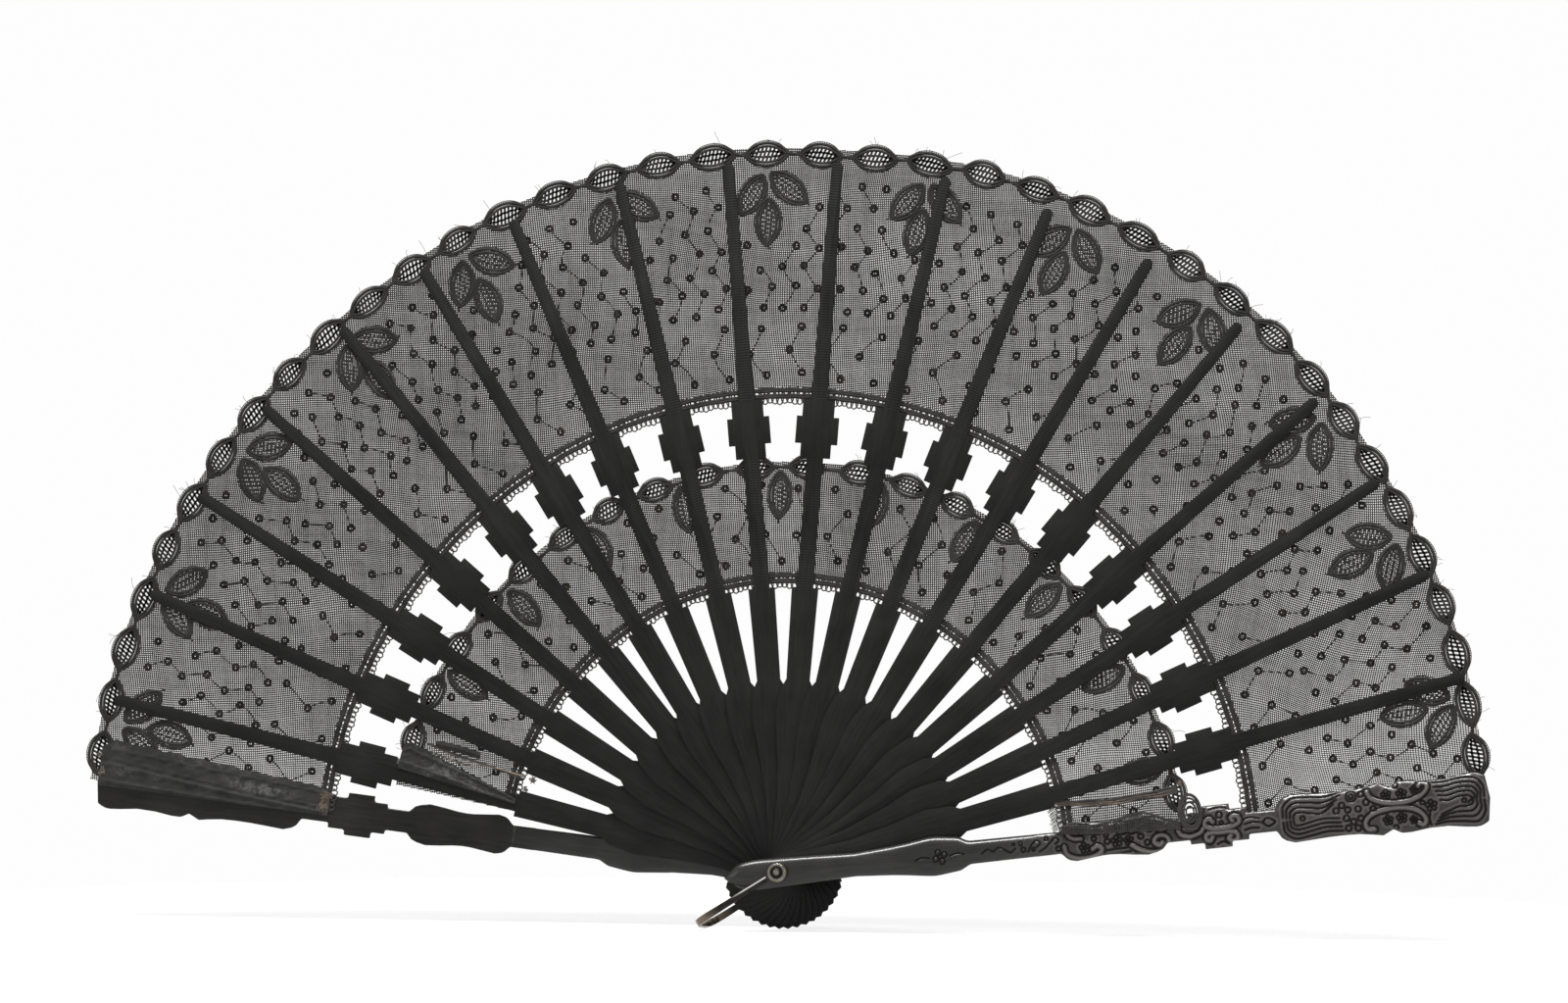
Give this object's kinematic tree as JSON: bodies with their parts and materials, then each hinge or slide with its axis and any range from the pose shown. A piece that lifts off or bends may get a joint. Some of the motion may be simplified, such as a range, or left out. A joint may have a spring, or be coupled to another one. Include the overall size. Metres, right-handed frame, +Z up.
{
  "type": "lace folding fan",
  "caption": "Folding fan of ebonised wooden sticks and carved guards on one rivet, with two bands of black lace and a metal carrying loop.",
  "frame": {"origin": "on the rivet's axis, at the middle of the stack of sticks", "axes": "+X to the front guard's side of the open fan, +Y along the rivet away from the front guard, +Z up to the crown of the lace"},
  "size_m": [0.4852, 0.0294, 0.2644],
  "materials": {
    "ebonised_wood": "satin ebonised wood with faint grain and scored cross lines",
    "carved_guard_wood": "polished ebonised wood, carved in relief",
    "black_lace": "open square net with corded scallops and leaves",
    "black_silk": "worn matt silk with folds",
    "dark_nickel": "dark worn nickel with brassy rubs"
  },
  "bodies": {
    "rear_side": {"rear_guard": "carved_guard_wood", "rear_guard_silk_strip": "black_silk", "rivet_pin": "dark_nickel", "front_washer": "dark_nickel", "rear_washer": "dark_nickel", "outer_lace_leaf": "black_lace", "inner_lace_leaf": "black_lace"},
    "blade_18": {"stick_18": "ebonised_wood", "stick_18_silk_strip": "black_silk"},
    "blade_17": {"stick_17": "ebonised_wood"},
    "blade_16": {"stick_16": "ebonised_wood"},
    "blade_15": {"stick_15": "ebonised_wood"},
    "blade_14": {"stick_14": "ebonised_wood"},
    "blade_13": {"stick_13": "ebonised_wood"},
    "blade_12": {"stick_12": "ebonised_wood"},
    "blade_11": {"stick_11": "ebonised_wood"},
    "blade_10": {"stick_10": "ebonised_wood"},
    "blade_09": {"stick_09": "ebonised_wood"},
    "blade_08": {"stick_08": "ebonised_wood"},
    "blade_07": {"stick_07": "ebonised_wood"},
    "blade_06": {"stick_06": "ebonised_wood"},
    "blade_05": {"stick_05": "ebonised_wood"},
    "blade_04": {"stick_04": "ebonised_wood"},
    "blade_03": {"stick_03": "ebonised_wood"},
    "blade_02": {"stick_02": "ebonised_wood"},
    "blade_01": {"stick_01": "ebonised_wood"},
    "front_side": {"front_guard": "carved_guard_wood"},
    "loop": {"carrying_loop": "dark_nickel"}
  },
  "joints": [
    {"name": "stick_18_turn", "type": "hinge", "parent": "rear_side", "child": "blade_18", "pos_m": [0, 0, 0], "axis": [0, -1, 0], "range_deg": [0, 6.7], "deforming": ["outer_lace_leaf", "inner_lace_leaf"]},
    {"name": "stick_17_turn", "type": "hinge", "parent": "blade_18", "child": "blade_17", "pos_m": [0, 0, 0], "axis": [0, -1, 0], "range_deg": [0, 9.1]},
    {"name": "stick_16_turn", "type": "hinge", "parent": "blade_17", "child": "blade_16", "pos_m": [0, 0, 0], "axis": [0, -1, 0], "range_deg": [0, 8.9]},
    {"name": "stick_15_turn", "type": "hinge", "parent": "blade_16", "child": "blade_15", "pos_m": [0, 0, 0], "axis": [0, -1, 0], "range_deg": [0, 8.9]},
    {"name": "stick_14_turn", "type": "hinge", "parent": "blade_15", "child": "blade_14", "pos_m": [0, 0, 0], "axis": [0, -1, 0], "range_deg": [0, 9.1]},
    {"name": "stick_13_turn", "type": "hinge", "parent": "blade_14", "child": "blade_13", "pos_m": [0, 0, 0], "axis": [0, -1, 0], "range_deg": [0, 8.2]},
    {"name": "stick_12_turn", "type": "hinge", "parent": "blade_13", "child": "blade_12", "pos_m": [0, 0, 0], "axis": [0, -1, 0], "range_deg": [0, 8.4]},
    {"name": "stick_11_turn", "type": "hinge", "parent": "blade_12", "child": "blade_11", "pos_m": [0, 0, 0], "axis": [0, -1, 0], "range_deg": [0, 9.3]},
    {"name": "stick_10_turn", "type": "hinge", "parent": "blade_11", "child": "blade_10", "pos_m": [0, 0, 0], "axis": [0, -1, 0], "range_deg": [0, 9.1]},
    {"name": "stick_09_turn", "type": "hinge", "parent": "blade_10", "child": "blade_09", "pos_m": [0, 0, 0], "axis": [0, -1, 0], "range_deg": [0, 9]},
    {"name": "stick_08_turn", "type": "hinge", "parent": "blade_09", "child": "blade_08", "pos_m": [0, 0, 0], "axis": [0, -1, 0], "range_deg": [0, 9]},
    {"name": "stick_07_turn", "type": "hinge", "parent": "blade_08", "child": "blade_07", "pos_m": [0, 0, 0], "axis": [0, -1, 0], "range_deg": [0, 8.8]},
    {"name": "stick_06_turn", "type": "hinge", "parent": "blade_07", "child": "blade_06", "pos_m": [0, 0, 0], "axis": [0, -1, 0], "range_deg": [0, 9.2]},
    {"name": "stick_05_turn", "type": "hinge", "parent": "blade_06", "child": "blade_05", "pos_m": [0, 0, 0], "axis": [0, -1, 0], "range_deg": [0, 9]},
    {"name": "stick_04_turn", "type": "hinge", "parent": "blade_05", "child": "blade_04", "pos_m": [0, 0, 0], "axis": [0, -1, 0], "range_deg": [0, 8.7]},
    {"name": "stick_03_turn", "type": "hinge", "parent": "blade_04", "child": "blade_03", "pos_m": [0, 0, 0], "axis": [0, -1, 0], "range_deg": [0, 8.2]},
    {"name": "stick_02_turn", "type": "hinge", "parent": "blade_03", "child": "blade_02", "pos_m": [0, 0, 0], "axis": [0, -1, 0], "range_deg": [0, 8.4]},
    {"name": "stick_01_turn", "type": "hinge", "parent": "blade_02", "child": "blade_01", "pos_m": [0, 0, 0], "axis": [0, -1, 0], "range_deg": [0, 8.7]},
    {"name": "front_guard_turn", "type": "hinge", "parent": "blade_01", "child": "front_side", "pos_m": [0, 0, 0], "axis": [0, -1, 0], "range_deg": [0, 9.8]},
    {"name": "loop_swing", "type": "hinge", "parent": "rear_side", "child": "loop", "pos_m": [0, 0, 0], "axis": [0, -1, 0], "range_deg": [-26, 140]}
  ],
  "couplings": [
    {"joint": "stick_17_turn", "follows": "stick_18_turn", "ratio": 1.3582},
    {"joint": "stick_16_turn", "follows": "stick_18_turn", "ratio": 1.3284},
    {"joint": "stick_15_turn", "follows": "stick_18_turn", "ratio": 1.3284},
    {"joint": "stick_14_turn", "follows": "stick_18_turn", "ratio": 1.3582},
    {"joint": "stick_13_turn", "follows": "stick_18_turn", "ratio": 1.2239},
    {"joint": "stick_12_turn", "follows": "stick_18_turn", "ratio": 1.2537},
    {"joint": "stick_11_turn", "follows": "stick_18_turn", "ratio": 1.3881},
    {"joint": "stick_10_turn", "follows": "stick_18_turn", "ratio": 1.3582},
    {"joint": "stick_09_turn", "follows": "stick_18_turn", "ratio": 1.3433},
    {"joint": "stick_08_turn", "follows": "stick_18_turn", "ratio": 1.3433},
    {"joint": "stick_07_turn", "follows": "stick_18_turn", "ratio": 1.3134},
    {"joint": "stick_06_turn", "follows": "stick_18_turn", "ratio": 1.3731},
    {"joint": "stick_05_turn", "follows": "stick_18_turn", "ratio": 1.3433},
    {"joint": "stick_04_turn", "follows": "stick_18_turn", "ratio": 1.2985},
    {"joint": "stick_03_turn", "follows": "stick_18_turn", "ratio": 1.2239},
    {"joint": "stick_02_turn", "follows": "stick_18_turn", "ratio": 1.2537},
    {"joint": "stick_01_turn", "follows": "stick_18_turn", "ratio": 1.2985},
    {"joint": "front_guard_turn", "follows": "stick_18_turn", "ratio": 1.4627}
  ]
}
